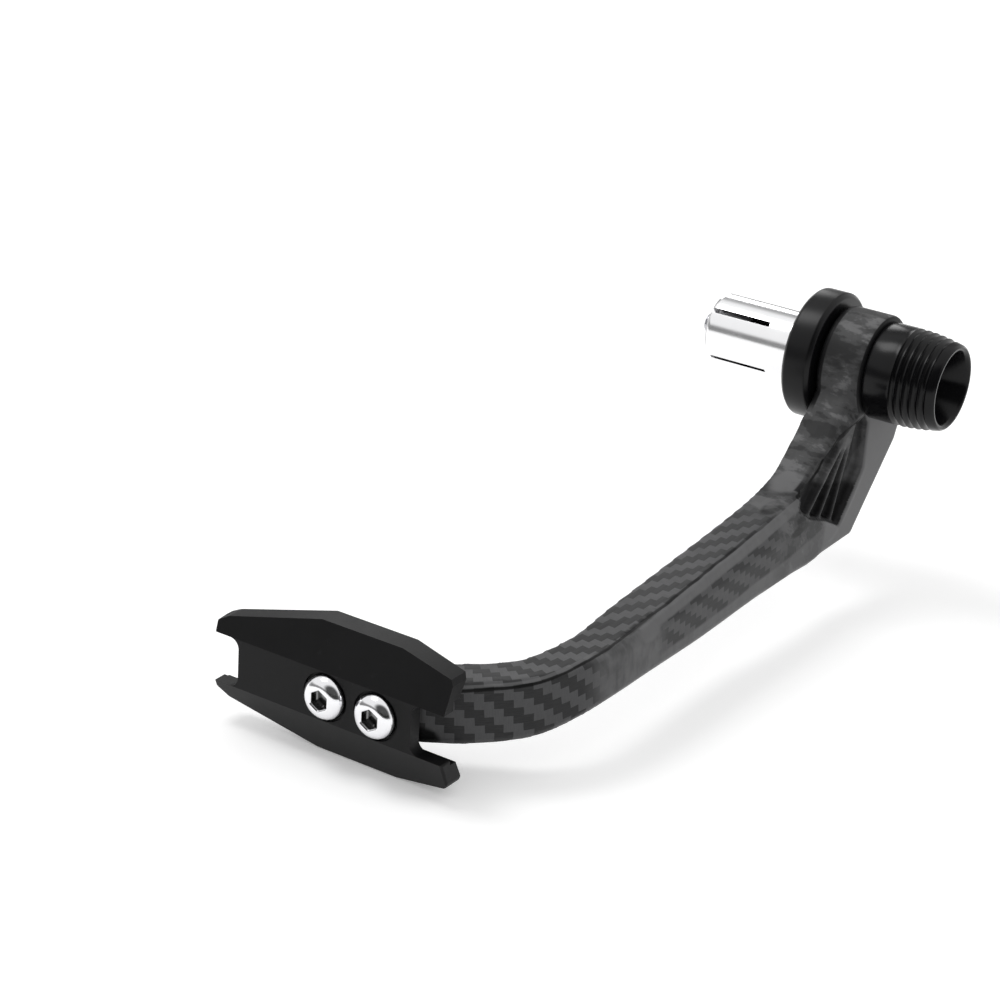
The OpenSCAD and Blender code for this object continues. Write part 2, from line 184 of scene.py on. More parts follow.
# Two wide soft lamps light the upper faces of the guard, one from above and one from behind.
# The floor is a sheet of white paper just under the slider, and it keeps the guard's shadow.
for name, spot, aim, side, power in (
        ("lamp_over", (-0.46, -0.20, 0.95), (0, -0.07, 0), 0.38, 2.8),
        ("lamp_back", (-0.62, 0.80, 0.46), (0, -0.1, 0), 0.45, 1.5)):
    lamp = bpy.data.lights.new(name, "AREA")
    lamp.size, lamp.energy = side, power
    hung = bpy.data.objects.new(name, lamp)
    hung.location = spot
    hung.rotation_euler = (Vector(aim) - Vector(spot)).to_track_quat("-Z", "Y").to_euler()
    stage.collection.objects.link(hung)

floor_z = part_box("tip_slider")[0][2] - 0.0004
bpy.ops.object.select_all(action="DESELECT")
bpy.ops.mesh.primitive_plane_add(size=5, location=(0, 0, floor_z))
floor = bpy.context.object
floor.name = "floor"
bpy.ops.object.transform_apply(location=True, rotation=True, scale=True)
paper = Finish("floor_paper", Roughness=0.9, Specular_IOR_Level=0.0)
watched = paper.node("LightPath", "Is Camera Ray").most(paper.node("LightPath", "Is Glossy Ray"))
paper.wear(paper.mix(watched, (0.75, 0.75, 0.75), (0.99, 0.99, 0.99)))
paper.feed(paper.skin.inputs["Emission Color"], paper.mix(watched, (0, 0, 0), (1, 1, 1)))
paper.skin.inputs["Emission Strength"].default_value = 0.22
floor.data.materials.append(paper.material)

# The arm is one moulding, an open channel that drops from the eye and runs forward to the tongue.
# A twill-patterned film was stretched over it when wet, so the weave smears at the bends.
# The film ends at the edges of the channel, and the eye's outer end face is bare and black. Its
# inboard end face and edge carry a painted shadow, for the gap by the spacer ring.
MM = 0.001


def only(obj):
    """Selects this piece and nothing else."""
    bpy.ops.object.select_all(action="DESELECT")
    obj.select_set(True)
    bpy.context.view_layer.objects.active = obj


def mode(kind):
    bpy.ops.object.mode_set(mode=kind)


def fit(obj, slot, material, *nodes):
    """Gives a finished piece its material and its place in the frame."""
    only(obj)
    bpy.ops.object.transform_apply(location=True, rotation=True, scale=True)
    obj.data.materials.clear()
    obj.data.materials.append(material)
    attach(obj, "root")
    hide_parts(*nodes)


def copy_of(node, name):
    """A merged copy of a CAD node, to be worked on."""
    obj = bpy.data.objects.new(name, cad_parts[node].data.copy())
    obj.data.name = name
    stage.collection.objects.link(obj)
    obj.data.materials.clear()
    only(obj)
    mode("EDIT")
    bpy.ops.mesh.select_all(action="SELECT")
    bpy.ops.mesh.remove_doubles(threshold=0.01 * MM)
    bpy.ops.mesh.tris_convert_to_quads(face_threshold=0.01, shape_threshold=0.02)
    bpy.ops.mesh.dissolve_limited(angle_limit=math.radians(0.4))
    mode("OBJECT")
    return obj


def work(obj, kind, **settings):
    """Adds one modifier and applies it."""
    only(obj)
    m = obj.modifiers.new(kind.lower(), kind)
    for key, value in settings.items():
        setattr(m, key, value)
    bpy.ops.object.modifier_apply(modifier=m.name)


def share_along(points, a, step):
    """Where on the step from a each point comes nearest, from 0 to 1."""
    return np.clip((points - a) @ step / (step @ step), 0, 1)


def inside(points, corners):
    """True for the (y, z) points that lie within the outline."""
    hit = np.zeros(len(points), bool)
    for (ya, za), (yb, zb) in zip(corners, corners[1:] + corners[:1]):
        spans = (points[:, 1] > za) != (points[:, 1] > zb)
        hit ^= spans & (points[:, 0] < (yb - ya) * (points[:, 1] - za) / (zb - za + 1e-9) + ya)
    return hit


def per_point(mesh, key):
    """The places or the normals of the mesh's points, one row for each."""
    values = np.zeros(len(mesh.vertices) * 3)
    mesh.vertices.foreach_get(key, values)
    return values.reshape(-1, 3)


arm = copy_of("guard_arm", "arm_body")
grid = 0.5
work(arm, "REMESH", mode="VOXEL", voxel_size=grid * MM, use_smooth_shade=True)
work(arm, "SMOOTH", factor=0.5, iterations=2)
only(arm)
bpy.ops.object.shade_smooth()

# the middle line of the arm, from the eye's axis to the end of the tongue
arm_x, curve_y = 14.35, -100
bends = [(arm_x, 0, 0), (arm_x, -4, -9), (arm_x, -9, -16), (arm_x, -15.4, -24.2),
         (arm_x, -24.5, -31.2), (arm_x, -38, -33.4), (arm_x, -56, -34.5), (arm_x, -80.7, -35.9),
         (arm_x, -104.4, -36.8), (14.05, -116.4, -37.8), (12.15, -127, -39.2),
         (8.15, -136.4, -40.8), (1.35, -143.6, -41.5), (-6.05, -148.6, -42), (-13.65, -152, -42),
         (-24, -152.5, -42), (-34, -152.5, -42)]
bends = np.array(bends) * MM
ends = np.vstack([2 * bends[0] - bends[1], bends, 2 * bends[-1] - bends[-2]])
path = [bends[0]]
for k in range(1, len(ends) - 2):
    before, here, after, later = ends[k - 1:k + 3]
    first, second = after - before, 2 * before - 5 * here + 4 * after - later
    third = 3 * here - before - 3 * after + later
    for f in np.arange(1, 13) / 12:
        path.append(0.5 * (2 * here + first * f + second * f ** 2 + third * f ** 3))
path = np.array(path)

# the film's own map: how far along the line each point lies, and how far round the arm
steps = path[1:] - path[:-1]
lengths = np.linalg.norm(steps, axis=1)
start = np.concatenate(([0], np.cumsum(lengths)))
co = per_point(arm.data, "co")
best = np.full(len(co), 1e9)
along, out_by, up_by = np.zeros(len(co)), np.zeros(len(co)), np.zeros(len(co))
side_at, lift_at = np.zeros((len(co), 3)), np.zeros((len(co), 3))
for k, (a, step, length) in enumerate(zip(path[:-1], steps, lengths)):
    share = share_along(co, a, step)
    gap = co - (a + share[:, None] * step)
    far = np.linalg.norm(gap, axis=1)
    heading = step / length
    side = np.array([1.0, 0, 0])
    if a[1] <= curve_y * MM:
        side = np.array([-heading[1], heading[0], 0]) / np.hypot(heading[0], heading[1])
    lift = np.cross(heading, side)
    near = far < best
    best[near] = far[near]
    side_at[near], lift_at[near] = side, lift
    along[near] = (start[k] + share * length)[near]
    out_by[near] = (gap @ side)[near]
    up_by[near] = (gap @ lift)[near]
map_unit = 10
loops = np.zeros(len(arm.data.loops), int)
arm.data.loops.foreach_get("vertex_index", loops)
uv = np.stack([along[loops], out_by[loops] - up_by[loops]], 1) / (map_unit * MM)
arm.data.uv_layers.new(name="film").data.foreach_set("uv", uv.ravel())

# the recess at the shoulder, the bare channel, and a painted shadow line along the recess's upper
# edge
normal = per_point(arm.data, "normal")
recess = [(-7, -9.8), (-4.8, -12.4), (-4.6, -24.5), (-15.2, -37), (-22, -33.6), (-31.5, -30),
          (-36.4, -26.8), (-33, -21), (-26, -17.4), (-17, -13)]
recess_floor, outer_face = 16, 19.9
pocket = inside(co[:, 1:] / MM, recess)
pocket &= (co[:, 0] > recess_floor * MM) & (co[:, 0] < outer_face * MM)
faces_in = np.clip(-(normal * side_at).sum(1) / 0.3 - 1, 0, 1) * (out_by > 0.5 * MM)
faces_mid = np.clip(-(normal * lift_at).sum(1) * np.sign(up_by) / 0.3 - 0.9, 0, 1)
channel = np.maximum(faces_in, faces_mid) * np.clip(5.3 - out_by / MM, 0, 1)
channel *= (along > 26 * MM) & ~pocket
# points along the recess's upper edge, where a painted shadow line runs
recess_edge = [(20.2, -3, -8), (20.2, -7, -9.6), (19.6, -12, -11.4), (18.8, -17, -13.2),
        (18.2, -20.6, -16), (17.1, -22.9, -18.6), (17.1, -24.2, -20), (17.1, -28.9, -22.2),
        (17.8, -35.1, -23.5)]
upper_edge_y, far_off = -18, 9.0
edge_shadow = np.full(len(co), far_off)
for a, b in zip(recess_edge, recess_edge[1:]):
    depth_weight = np.array([0.3 if a[1] > upper_edge_y else 1.0, 1.0, 1.0])
    a, run = np.array(a), np.subtract(b, a)
    gap = co / MM - a - share_along(co / MM, a, run)[:, None] * run
    edge_shadow = np.minimum(edge_shadow, np.linalg.norm(gap * depth_weight, axis=1))
for name, values in (("pocket", pocket), ("channel", channel), ("edge_shadow", edge_shadow)):
    layer = arm.data.attributes.new(name, "FLOAT", "POINT")
    layer.data.foreach_set("value", values.astype(float))

film = Finish("twill_film", Roughness=0.4, Specular_IOR_Level=0.1)
spot = film.place()
x, y, z = (part / MM for part in film.split(spot))
u, v, _ = film.split(film.node("UVMap", settings={"uv_map": "film"}))
drift, ripple = film.noise(spot, 130, 2) - 0.5, film.noise(spot, 90, 2) - 0.5
s, t = u * map_unit + 1.6 * drift, v * map_unit + 1.2 * ripple
cloud = film.noise(spot, 75, 4, 0.6)
streak = film.noise(film.point(s * 0.5, t * 0.16, 2))
mottle = film.noise(film.point(x * 0.085, (y - z) * 0.075, (y + z) * 0.13), 1, 5, 0.62)


def patch(s_mid, t_mid, s_half, t_half):
    """A soft spot of the film, at so many mm along the arm and round it."""
    a, b = (s - s_mid) / s_half, (t - t_mid) / t_half
    return (a * a + b * b).ramp(1.0, 0.35)


# the twill, two over and two under, whose tows are pulled longer before the last bend
tow, pulled_tow, pulled_to = 1.9, 2.5, 130
light_tow, dark_tow = (0.082, 0.082, 0.084), (0.025, 0.025, 0.0255)
glint, haze = (0.13, 0.13, 0.132), (0.05, 0.05, 0.051)
loose = s.ramp(140, 118)
cell_s = (u * map_unit - pulled_to).most(0) / tow + (u * map_unit - pulled_to).least(0) / pulled_tow
cell_s = cell_s + 0.25 * drift
cell_t = v * map_unit / tow + loose * v * 1.4 + 0.25 * ripple
over = (cell_s.floor() + cell_t.floor()).wrap(4) < 1.5
round_s, round_t = cell_s.wrap(1) - 0.5, cell_t.wrap(1) - 0.5
crown = over * (1 - 4 * round_t * round_t) + (1 - over) * (1 - 4 * round_s * round_s)
warp = film.noise(film.point(cell_s * 0.7, cell_t * 9, 0))
weft = film.noise(film.point(cell_s * 9, cell_t * 0.7, 5))
strands = over * warp + (1 - over) * weft
cloth = film.mix(over * (0.95 - 0.15 * loose), light_tow, dark_tow)
cloth = film.mix((strands - 0.3) * 0.6 * (1 - 0.5 * over), cloth, glint)
cloth = film.mix((cloud - 0.45).ramp(0.0, 0.35) * 0.45, cloth, haze)

# the places where the film was pulled smooth and lost its weave, and a painted highlight along the
# lower edge
pale_film, dim_film = (0.150, 0.150, 0.152), (0.026, 0.026, 0.0265)
thin_film, thick_film = (0.062, 0.062, 0.063), (0.135, 0.135, 0.137)
neck_film, neck_dark, neck_pale = (0.072, 0.072, 0.073), (0.024, 0.024, 0.0245), (0.17, 0.17, 0.172)
crease_t = (s - 52) * 0.0465 - 6.2
past_crease = t - crease_t
ridge = past_crease.ramp(0.2, 0.7) * past_crease.ramp(4.6, 3.6) * s.ramp(124, 116) * s.ramp(42, 50)
bend = s.ramp(144, 136) * s.ramp(114, 121) * t.ramp(-3.5, -1.5)
# a painted highlight along the arm's lower edge, where its bevel catches the light; the weave is
# left out there
edge_highlight = t.ramp(8.4, 9.4) * s.ramp(121, 116)
heel = (y + 24).ramp(-2, 2) * (x - 19.6).ramp(0, 0.4) * (z + 9).ramp(1, -1)
neck = (z + 24).ramp(-3, 3).most(s.ramp(68, 58) * 0.9)
glow = patch(46, -12, 7, 5)
crumple = patch(122, 0.5, 5, 3.5)
smooth = ridge.most(bend).most(edge_highlight).most(heel * 0.9).most(neck * 0.9).most(glow)
plain = film.mix((cloud * 0.6 + streak * 0.5 - 0.2).ramp(0.10, 0.48), thin_film, thick_film)
plain = film.mix(neck, plain, neck_film)
plain = film.mix(neck * (1 - glow) * mottle.ramp(0.50, 0.43) * 0.8, plain, neck_dark)
plain = film.mix(neck * mottle.ramp(0.54, 0.62) * 0.8, plain, neck_pale)
tone = film.mix(smooth, cloth, plain)
pale = heel.most(ridge * 0.75).most(edge_highlight * 0.5)
pale = pale.most(glow * cloud.ramp(0.35, 0.6)).most(crumple * 0.8)
tone = film.mix(pale, tone, pale_film)
strap = (z - 4.5).size().ramp(5.5, 2.5) * (y + 5).ramp(0, -3)
strap = strap.most((x - 16.5).ramp(0, 2) * (z - 8).ramp(-3, 1))
tone = film.mix(strap * mottle.ramp(0.60, 0.46) * 0.75, tone, dim_film)

# painted shade down the crease with a painted highlight on one side, the blots, painted shade in
# the recess and a painted shadow along its upper edge, the bare moulding, and a painted shadow at
# the eye's inboard edge
shade_and_blot_black, shadow_black, bare_and_shadow_black = (0.006, 0.006, 0.006), (0.005, 0.005, 0.005), (0.006, 0.006, 0.0065)
recess_top = (0.035, 0.035, 0.036)
# painted shade down the crease, which the relief below also sinks; the blots share its near-black
line = past_crease.size().ramp(0.62, 0.22) * (0.35 * s.ramp(50, 62) + 0.65 * s.ramp(66, 84))
smear = (past_crease + 0.3).size().ramp(1.3, 0.5) * s.ramp(141, 134) * s.ramp(112, 119)
crease_shade_and_blots = line.most(smear * streak.ramp(0.42, 0.55))
crease_shade_and_blots = crease_shade_and_blots.most(patch(58, -8.4, 5, 2.6) * cloud.ramp(0.40, 0.56))
crease_shade_and_blots = crease_shade_and_blots.most(patch(53, 3.4, 5.5, 1.6) * cloud.ramp(0.38, 0.52))
crease_shade_and_blots = crease_shade_and_blots.most(patch(176, 11.5, 4, 3.4))
# a painted highlight along one side of the crease, towards the tongue
edge = (past_crease + 1.1).size().ramp(0.75, 0.35) * s.ramp(136, 142)
tone = film.mix(edge * 0.6, tone, glint)
tone = film.mix(crease_shade_and_blots * (0.75 + 0.2 * s.ramp(120, 150)), tone, shade_and_blot_black)
# painted shade in the recess, darkest towards its deep end; the same black is the bare moulding
# elsewhere
recess_shade = (z + 22.3 + (y + 25.1) * 0.307 + 3 * (mottle - 0.5)).ramp(1.2, -1.2)
recess_shade_tone = film.mix(recess_shade, recess_top, bare_and_shadow_black)
tone = film.mix(film.painted("pocket") * (0.35 + 0.55 * recess_shade), tone, recess_shade_tone)
# a painted shadow line along the recess's upper edge and wall
edge_shadow_line = (film.painted("edge_shadow") + 0.5 * (mottle - 0.5)).ramp(0.72, 0.38)
tone = film.mix(edge_shadow_line * 0.9, tone, shadow_black)
tray = film.painted("channel").ramp(0.25, 0.75)
# a painted shadow along the eye's inboard edge, for the gap by the spacer ring
eye_gap_shadow = (x - 10.1).ramp(0.2, -0.2) * (z + 7).ramp(-2, 0)
outer_end = (x - 19.6).ramp(0, 0.3) * (z + 9).ramp(-1, 1)
tone = film.mix(tray.most(eye_gap_shadow.most(outer_end)), tone, bare_and_shadow_black)
height = crown * (1 - smooth) * 0.25 + 0.2 * strands + cloud * smooth * 0.8 - 1.6 * line
film.wear(tone, 0.46 - 0.1 * strands - 0.22 * tray + 0.06 * cloud, height, 0.00012, 0.45)
fit(arm, "arm_film", film.material, "guard_arm")


# The slider is a hard black moulding, a bent plate with a flat band that takes the two screws.
# Its edges are rounded by the mould, its skin has a fine satin grain, and the tips are blunt.
def shaded(obj, degrees):
    """Smooth shading, but sharp over the edges that are steeper than this."""
    only(obj)
    bpy.ops.object.shade_smooth_by_angle(angle=math.radians(degrees))


def broken_edges(obj, width, segments=2, degrees=40):
    """Rounds the edges that are steeper than this, by a width in mm."""
    work(obj, "BEVEL", width=width * MM, segments=segments, limit_method="ANGLE",
         angle_limit=math.radians(degrees))


slider = copy_of("tip_slider", "slider_body")
low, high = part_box("tip_slider")
tip_z, tip_l, blunted, lip_l, skin_t = -34.7, 3, 0.8, 1.2, 2.5
upper_half, lower_half = 1, -1
for p in slider.data.vertices:
    if p.co.x < low.x + 0.7 * MM and abs(p.co.z - tip_z * MM) < 0.5 * MM:
        p.co.z += blunted * MM
for half, radius in ((upper_half, 1.25), (lower_half, 1.0)):
    mode("EDIT")
    bpy.ops.mesh.select_all(action="DESELECT")
    mode("OBJECT")
    for e in slider.data.edges:
        a, b = (slider.data.vertices[k].co for k in e.vertices)
        this_half = ((a + b).z / 2 - (low + high).z / 2) * half > 0
        at_tip = max(a.x, b.x) < low.x + tip_l * MM
        at_lip = min(a.x, b.x) > high.x - lip_l * MM
        across = abs((a - b).y) > skin_t * MM
        e.select = across and this_half and (at_tip or (at_lip and half == lower_half))
    mode("EDIT")
    bpy.ops.mesh.bevel(offset=radius * MM, segments=5, profile=0.5, affect="EDGES",
                       clamp_overlap=True)
    mode("OBJECT")
broken_edges(slider, 0.7, 3, 20)
shaded(slider, 35)
work(slider, "WEIGHTED_NORMAL", keep_sharp=True)
satin = Finish("satin_moulding", Specular_IOR_Level=0.17)
spot = satin.place()
grain = satin.noise(spot, 3200, 2)
cloud = satin.noise(spot, 90, 4, 0.6)
rub = satin.noise(spot, 260, 5, 0.7).ramp(0.60, 0.74)
tone = satin.mix(cloud, (0.0022, 0.0022, 0.0024), (0.0065, 0.0065, 0.007))
tone = satin.mix(rub * 0.5, tone, (0.014, 0.014, 0.0145))
satin.wear(tone, 0.36 + 0.12 * cloud + 0.06 * grain, grain + 2 * cloud, 0.00003, 0.3)
fit(slider, "slider_black", satin.material, "tip_slider")


# The spacer ring is turned from aluminium bar and anodised black. Its rims are chamfered, its
# skin is satin with faint turning lines, and a low boss keeps it off the flat of the eye.
def pull(x, y, z):
    """Extrudes what is selected, by so many mm."""
    bpy.ops.mesh.extrude_region_move(TRANSFORM_OT_translate={"value": (x * MM, y * MM, z * MM)})


def spun(name, outline, steps=96, closed=True):
    """A piece turned round the bar axis, from (x, radius) points in mm."""
    bpy.ops.object.select_all(action="DESELECT")
    bpy.ops.mesh.primitive_plane_add(size=1 * MM, location=(0, 0, 0))
    obj = bpy.context.object
    obj.name = obj.data.name = name
    mode("EDIT")
    bpy.ops.mesh.select_all(action="SELECT")
    bpy.ops.mesh.merge(type="CENTER")
    bpy.ops.transform.translate(value=(outline[0][0] * MM, 0, outline[0][1] * MM))
    corners = outline + outline[:1] if closed else outline
    for (xa, ra), (xb, rb) in zip(corners, corners[1:]):
        pull(xb - xa, 0, rb - ra)
    bpy.ops.mesh.select_all(action="SELECT")
    bpy.ops.mesh.spin(steps=steps, angle=2 * math.pi, center=(0, 0, 0), axis=(1, 0, 0))
    bpy.ops.mesh.select_all(action="SELECT")
    bpy.ops.mesh.remove_doubles(threshold=0.002 * MM)
    bpy.ops.mesh.normals_make_consistent(inside=False)
    mode("OBJECT")
    return obj


def eased(outline, radius, turns=4):
    """Rounds every corner of a closed outline."""
    out = []
    for k, p in enumerate(outline):
        a, p, b = Vector(outline[k - 1]), Vector(p), Vector(outline[(k + 1) % len(outline)])
        ra = min(radius, 0.45 * (a - p).length, 0.45 * (b - p).length)
        s, e = p + (a - p).normalized() * ra, p + (b - p).normalized() * ra
        for t in range(turns + 1):
            f = t / turns
            q = (1 - f) ** 2 * s + 2 * f * (1 - f) * p + f * f * e
            out.append((q.x, q.y))
    return out


def anodised(name, colour, rough, lines, depth, sheen):
    """Black anodised metal with the fine lines that the lathe left."""
    skin = Finish(name, Specular_IOR_Level=sheen)
    spot = skin.place()
    x, y, z = skin.split(spot)
    turning = skin.noise(skin.point(x * lines, y * 20, z * 20))
    cloud = skin.noise(spot, 80, 2)
    tone = skin.mix(cloud, tuple(c * 0.75 for c in colour), tuple(c * 1.3 for c in colour))
    return skin.wear(tone, rough + 0.06 * turning + 0.08 * cloud, turning, depth, 0.15)


def mm_box(node):
    """The two corners of a CAD node's box, in mm."""
    return [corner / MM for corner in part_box(node)]


low, high = mm_box("spacer_ring")
boss_out, ring_r = high.x, high.y
boss_h, boss_r, chamfer, spigot_l, spigot_r, bolt_hole_r = 0.9, 11, 0.9, 2, 7.05, 3.2
ring_w = boss_out - boss_h
ring = [(0, spigot_r), (0, ring_r - chamfer), (chamfer, ring_r), (ring_w - chamfer, ring_r),
        (ring_w, ring_r - chamfer), (ring_w, boss_r), (boss_out, boss_r), (boss_out, bolt_hole_r),
        (spigot_l, bolt_hole_r), (spigot_l, spigot_r)]
ring = spun("ring_body", eased(ring, 0.35), 128)
shaded(ring, 35)
ring_skin = anodised("satin_anodised", (0.0035, 0.0035, 0.004), 0.23, 4000, 0.00002, 0.21)
fit(ring, "anodised_black", ring_skin, "spacer_ring")

# The bar end cap is turned from the same bar and was polished before it was anodised black.
# Rounded ridges run round its taper, and its mouth is a smooth cone down to the bolt.
low, high = mm_box("bar_end_cap")
cap_in, cap_out, base_r = low.x, high.x, high.y
base_l, lip_l, floor_t, fall = 7.2, 2.1, 3.8, 1.55
ridges, ridge_steps, groove, roundness = 5, 12, 0.8, 2.4
rim_r, mouth_r, bore_r = 10.2, 9.1, 6.7
ridge_from, ridge_to, cap_floor = cap_in + base_l, cap_out - lip_l, cap_in + floor_t


def taper(at):
    """The radius of the cap over its ridges, which falls faster towards its open end."""
    return base_r - fall * ((at - ridge_from) / (cap_out - ridge_from)) ** 2


cap = [(cap_in, bolt_hole_r), (cap_in, base_r - 0.3), (cap_in + 0.05, base_r - 0.1),
       (cap_in + 0.3, base_r), (ridge_from - 0.8, base_r), (ridge_from - 0.2, base_r - 0.05)]
for k in range(ridges * ridge_steps):
    at = ridge_from + (ridge_to - ridge_from) * k / (ridges * ridge_steps)
    across = 2 * (k / ridge_steps % 1) - 1
    cap.append((at, taper(at) - groove * (1 - abs(across) ** roundness)))
cap += [(ridge_to, taper(ridge_to)), (cap_out - 0.7, taper(cap_out - 0.7)),
        (cap_out - 0.3, taper(cap_out - 0.3) - 0.12), (cap_out - 0.05, taper(cap_out - 0.1) - 0.45),
        (cap_out, rim_r), (cap_out, rim_r - 0.4), (cap_out - 0.15, mouth_r + 0.4),
        (cap_out - 0.9, mouth_r), (cap_floor + 0.3, bore_r), (cap_floor, bore_r - 0.3),
        (cap_floor, bolt_hole_r)]
cap = spun("cap_body", cap, 128)
shaded(cap, 40)
cap_skin = anodised("polished_anodised", (0.003, 0.003, 0.0035), 0.14, 2500, 0.00001, 0.2)
fit(cap, "anodised_black", cap_skin, "bar_end_cap")


# The expander sleeve is a polished aluminium plug, sawn into four tongues from its tip.
# The bolt draws a cone nut into it, and the tongues spread against the bore of the bar.
def bright(name, colour, rough, across=30, lengthwise=2500, painted_shade=None):
    """Bright metal with fine lines and a slight change of polish, and a painted shade of dark grey
    in its hollows.
    """
    skin = Finish(name, Metallic=1.0)
    spot = skin.place()
    x, y, z = skin.split(spot)
    lines = skin.noise(skin.point(x * lengthwise, y * across, z * across), 1, 2)
    cloud = skin.noise(spot, 120)
    tone = skin.mix(cloud, tuple(c * 0.93 for c in colour), colour)
    # painted shade: dark grey where the mask marks a hollow
    if painted_shade:
        tone = skin.mix(painted_shade(skin, x / MM, y / MM, z / MM), tone, (0.19, 0.19, 0.192))
    return skin.wear(tone, rough + 0.08 * cloud + 0.05 * lines, lines, 0.00001, 0.25)


def saw_cut_shade(skin, x, y, z):
    """1 below the skin of the sleeve and behind its tip, where the cuts get a painted shade."""
    return (y * y + z * z).ramp(8.57 ** 2, 8.37 ** 2) * (x + 25.7).ramp(0, 0.2) * 1.2


low, high = mm_box("expander_sleeve")
tip_x, sleeve_r = low.x, high.y
tip_round, seat_r, seat_l, slot_l, slot_w = 1.5, 5.48, 16.37, 17, 1.4
saw_l, saw_h, saw_from_r = 18, 9, 2
sleeve = [(tip_x + 0.15, seat_r), (tip_x, seat_r + 0.17)]
for deg in range(0, 91, 15):
    a = math.radians(deg)
    sleeve.append((tip_x + tip_round * (1 - math.cos(a)), sleeve_r - tip_round * (1 - math.sin(a))))
sleeve += [(0, sleeve_r), (0, spigot_r - 0.05), (spigot_l, spigot_r - 0.05),
           (spigot_l, bolt_hole_r), (tip_x + seat_l, bolt_hole_r)]
sleeve = spun("sleeve_body", sleeve, 144)
for turn in (45, 135, 225, 315):
    bpy.ops.object.select_all(action="DESELECT")
    saw_x, saw_z = tip_x + slot_l - saw_l / 2, saw_from_r + saw_h / 2
    bpy.ops.mesh.primitive_cube_add(size=1, location=(saw_x * MM, 0, saw_z * MM),
                                    scale=(saw_l * MM, slot_w * MM, saw_h * MM))
    saw = bpy.context.object
    bpy.ops.object.transform_apply(location=True, rotation=True, scale=True)
    saw.data.transform(Matrix.Rotation(math.radians(turn), 4, "X"))
    work(sleeve, "BOOLEAN", operation="DIFFERENCE", object=saw, solver="EXACT")
    bpy.data.objects.remove(saw)
broken_edges(sleeve, 0.12)
shaded(sleeve, 30)
work(sleeve, "WEIGHTED_NORMAL", keep_sharp=True)
sleeve_skin = bright("polished_aluminium", (0.93, 0.93, 0.94), 0.1, painted_shade=saw_cut_shade)
fit(sleeve, "bare_aluminium", sleeve_skin, "expander_sleeve")

# The cone nut is turned from aluminium and left as it came from the lathe.
# It sits in the tip of the sleeve, and the bolt's thread pulls it in.
low, high = mm_box("expander_cone")
wide_r, narrow_r, tapped_r, mouth = 5.3, 4.05, 3.0, 0.8
cone = [(low.x + mouth, tapped_r), (low.x, tapped_r + mouth), (low.x, wide_r),
        (high.x, narrow_r), (high.x, tapped_r)]
cone = spun("cone_body", eased(cone, 0.2), 96)
shaded(cone, 35)
fit(cone, "bare_aluminium", bright("turned_aluminium", (0.80, 0.80, 0.82), 0.22), "expander_cone")


# The clamp bolt is an M6 socket head cap screw, plated, with its head down in the cap.
# Its rolled thread shows past the cone nut at the tip of the sleeve.
def hexed(a, b, half_flat):
    """The point of a hexagon that lies the same way as (a, b)."""
    turn = math.atan2(b, a)
    r = half_flat / math.cos((turn % math.radians(60)) - math.radians(30)) * MM
    return r * math.cos(turn), r * math.sin(turn)


low, high = mm_box("clamp_bolt")
tip, top = low.x, high.x
head_h, head_r, key_half, shank_r, thread_l, pitch = 6, 5.0, 2.5, 2.98, 21.5, 1.0
thread_end, head_at, socket_rim = tip + thread_l, top - head_h, 3.3
bolt = [(tip, 0.0), (tip, 2.1), (tip + 0.2, 2.35)]
at = tip + 0.3
while at < thread_end:
    bolt.append((at, 3.0))
    at += pitch / 6
bolt += [(thread_end + 0.4, shank_r), (head_at, shank_r), (head_at, head_r - 0.2),
         (head_at + 0.2, head_r), (top - 0.6, head_r), (top - 0.2, head_r - 0.2),
         (top, head_r - 0.6), (top, socket_rim), (top - 0.3, socket_rim - 0.2), (top - 0.3, 0.0)]
bolt = spun("bolt_body", bolt, 48, closed=False)
for p in bolt.data.vertices:
    r = math.hypot(p.co.y, p.co.z)
    if tip * MM < p.co.x < thread_end * MM and r > 2.9 * MM:
        turn = (p.co.x / MM - math.atan2(p.co.z, p.co.y) / (2 * math.pi)) % pitch
        cut = (0.5 - abs(turn - 0.5)) * 2
        lead = min(1, p.co.x / MM - tip - 0.3)
        want = (shank_r - 0.55 * min(1, cut * 1.25) - 0.35 * (1 - lead)) * MM
        p.co.y, p.co.z = p.co.y * want / r, p.co.z * want / r
only(bolt)
mode("EDIT")
bpy.ops.mesh.select_all(action="DESELECT")
mode("OBJECT")
for f in bolt.data.polygons:
    r = math.hypot(f.center.y, f.center.z)
    f.select = f.normal.x > 0.9 and f.center.x > (top - 0.4) * MM and r < 3.1 * MM
mode("EDIT")
bpy.ops.mesh.dissolve_faces()
bpy.ops.mesh.inset(thickness=0.1 * MM)
mode("OBJECT")
for p in bolt.data.vertices:
    if p.select:
        p.co.y, p.co.z = hexed(p.co.y, p.co.z, key_half)
mode("EDIT")
pull(-2.7, 0, 0)
mode("OBJECT")
shaded(bolt, 32)
plated = bright("plated_steel", (0.72, 0.72, 0.74), 0.16, 60, 60)
fit(bolt, "plated_steel", plated, "clamp_bolt")


# Two M6 button head screws hold the slider to the tongue. They are brightly plated.
# Each head is a low dome with a hex socket, and it sits in a shallow round seat.
def narrow(factor, z):
    """Scales what is selected about the screw's axis, at a height in mm."""
    bpy.ops.transform.resize(value=(factor, factor, 1), center_override=(0, 0, z * MM))


def socket_shade(skin, x, y, z):
    """1 down in the socket of a screw, where a painted shade darkens the metal."""
    return skin.painted("socket").ramp(0.0, 0.5)


